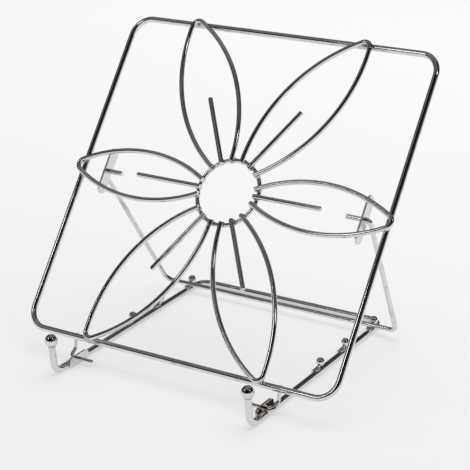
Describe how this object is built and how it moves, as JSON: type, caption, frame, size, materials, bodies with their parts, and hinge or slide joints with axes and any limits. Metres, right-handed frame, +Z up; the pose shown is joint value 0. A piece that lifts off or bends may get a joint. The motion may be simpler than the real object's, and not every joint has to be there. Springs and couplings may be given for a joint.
{
  "type": "cookbook stand",
  "caption": "Folding chromed-wire cookbook stand: a tilted square panel with a six-petal flower, hinged on a floor frame and held up by a swinging rear prop.",
  "frame": {"origin": "on the floor, under the middle of the footprint", "axes": "+X along the panel's width, +Y from the front posts to the back, +Z up"},
  "size_m": [0.2912, 0.2162, 0.2406],
  "materials": {
    "panel_wire": "bright chrome plate on steel, panel frame and hinge links",
    "flower_wire": "bright chrome plate on steel, petals, stamens and hub ring",
    "floor_wire": "bright chrome plate on steel, floor frame, hooks and stop stems",
    "balls": "bright chrome plate on steel, balls",
    "plates": "bright chrome plate on steel, hinge plates",
    "prop_wire": "bright chrome plate on steel, prop"
  },
  "bodies": {
    "base": {"base_frame": "floor_wire", "front_hook_left": "floor_wire", "front_ball_left": "balls", "hinge_tab_left": "plates", "stop_stem_left_1": "floor_wire", "stop_ball_left_1": "balls", "stop_stem_left_2": "floor_wire", "stop_ball_left_2": "balls", "stop_stem_left_3": "floor_wire", "stop_ball_left_3": "balls", "front_hook_right": "floor_wire", "front_ball_right": "balls", "hinge_tab_right": "plates", "stop_stem_right_1": "floor_wire", "stop_ball_right_1": "balls", "stop_stem_right_2": "floor_wire", "stop_ball_right_2": "balls", "stop_stem_right_3": "floor_wire", "stop_ball_right_3": "balls"},
    "panel": {"panel_frame": "panel_wire", "hub_ring": "flower_wire", "petal_right": "flower_wire", "stamen_right": "flower_wire", "petal_upper_right": "flower_wire", "stamen_upper_right": "flower_wire", "petal_upper_left": "flower_wire", "stamen_upper_left": "flower_wire", "petal_left": "flower_wire", "stamen_left": "flower_wire", "petal_lower_left": "flower_wire", "stamen_lower_left": "flower_wire", "petal_lower_right": "flower_wire", "stamen_lower_right": "flower_wire", "prop_tab_left": "plates", "hinge_link_left": "panel_wire", "prop_tab_right": "plates", "hinge_link_right": "panel_wire"},
    "prop": {"prop_wire": "prop_wire"}
  },
  "joints": [
    {"name": "panel_tilt", "type": "hinge", "parent": "base", "child": "panel", "pos_m": [0, -0.07515, 0.0044], "axis": [1, 0, 0], "range_deg": [0, 38.5]},
    {"name": "prop_swing", "type": "hinge", "parent": "panel", "child": "prop", "pos_m": [0, 0.01893, 0.12663], "axis": [1, 0, 0], "range_deg": [-58, 0]}
  ],
  "couplings": [
    {"joint": "prop_swing", "follows": "panel_tilt", "ratio": -1.5}
  ]
}
